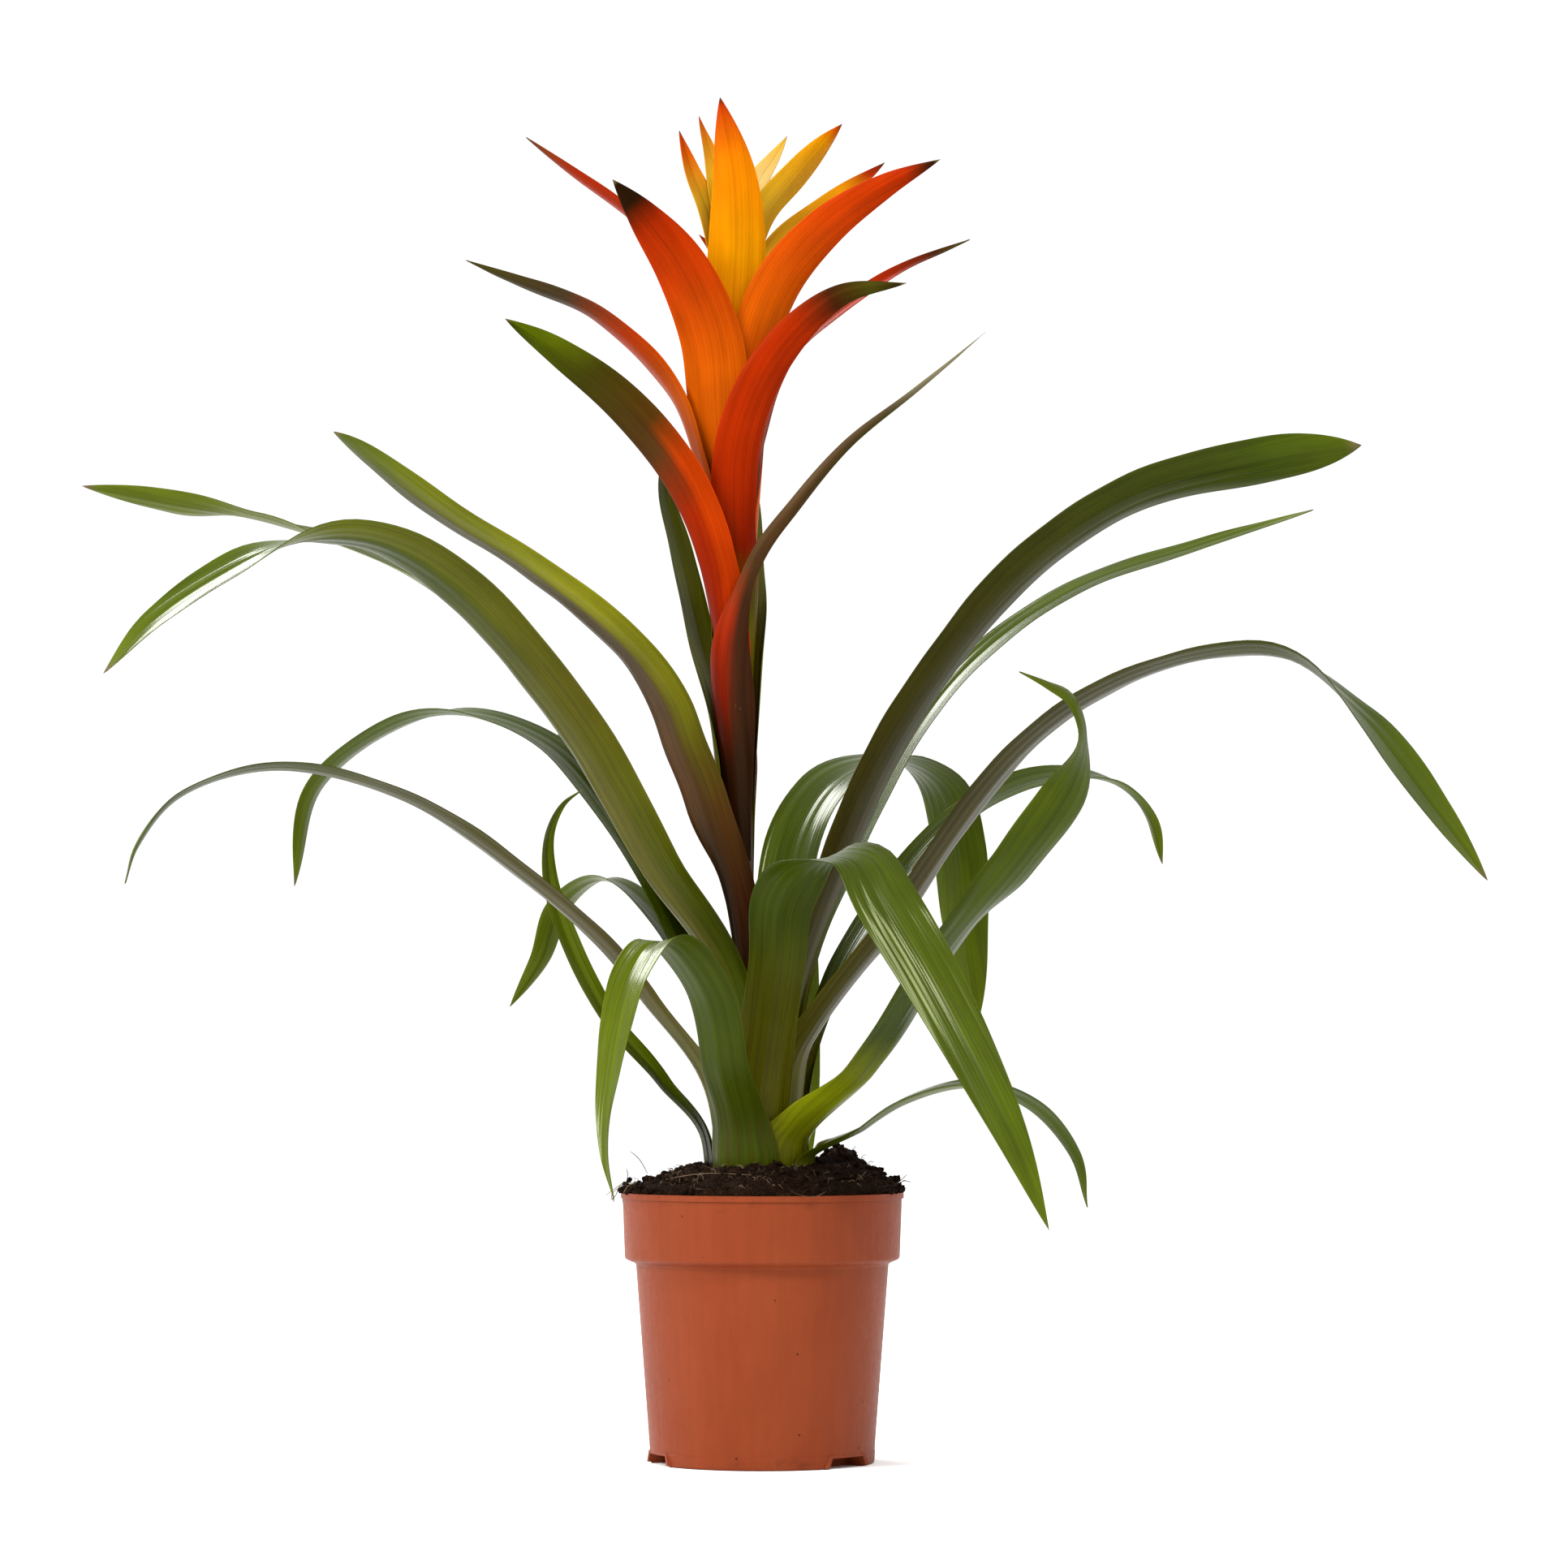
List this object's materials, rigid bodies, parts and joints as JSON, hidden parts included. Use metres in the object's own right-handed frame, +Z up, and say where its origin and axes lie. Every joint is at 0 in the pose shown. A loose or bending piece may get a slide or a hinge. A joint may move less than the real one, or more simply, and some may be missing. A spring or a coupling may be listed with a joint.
{
  "type": "potted guzmania",
  "caption": "Potted guzmania: a rosette of long arching strap leaves and an upright stalk with a yellow, orange and red flower head, in a plain terracotta-coloured plastic nursery pot of peat.",
  "frame": {"origin": "middle of the pot's base, on the surface it stands on", "axes": "+Z up along the pot's axis, +X to the right and -Y towards the viewer of the front view"},
  "size_m": [0.586, 0.3905, 0.579],
  "materials": {
    "pot": "matte, terracotta colour, lightly soiled",
    "peat": "rough fibrous peat, dark brown",
    "stem": "smooth green stalk",
    "rosette_leaf": "glossy green upper face, duller olive underside with fine streaks",
    "stalk_leaf": "satin, olive to purple-brown",
    "red_bract": "satin, orange to deep red with darker tips",
    "yellow_bract": "satin, yellow to orange"
  },
  "bodies": {
    "root": {"pot": "pot", "soil": "peat", "stem": "stem", "leaf_right_broad": "rosette_leaf", "leaf_left_broad": "rosette_leaf", "leaf_left_high": "rosette_leaf", "leaf_right_back": "rosette_leaf", "leaf_right_long": "rosette_leaf", "leaf_back_arching": "rosette_leaf", "leaf_left_back": "rosette_leaf", "leaf_back_right": "rosette_leaf", "leaf_back_hidden_left": "rosette_leaf", "leaf_front_folded": "rosette_leaf", "leaf_left_long": "rosette_leaf", "leaf_front_right": "rosette_leaf", "leaf_back_straight": "rosette_leaf", "leaf_front_left": "rosette_leaf", "leaf_back_left": "rosette_leaf", "leaf_low_right": "rosette_leaf", "leaf_low_left": "rosette_leaf", "stalk_leaf_left": "stalk_leaf", "stalk_leaf_back_left": "stalk_leaf", "stalk_leaf_right": "stalk_leaf", "stalk_leaf_back": "stalk_leaf", "bract_left_low": "red_bract", "bract_front_red": "red_bract", "bract_left_long": "red_bract", "bract_right_back_red": "red_bract", "bract_left_big": "red_bract", "bract_right_big": "red_bract", "bract_left_back": "red_bract", "bract_back_small": "red_bract", "bract_right_yellow": "yellow_bract", "bract_top_front": "yellow_bract", "bract_top_left": "yellow_bract", "bract_top_right": "yellow_bract", "bract_top_thin": "yellow_bract", "bract_top_inner": "yellow_bract"}
  },
  "joints": []
}
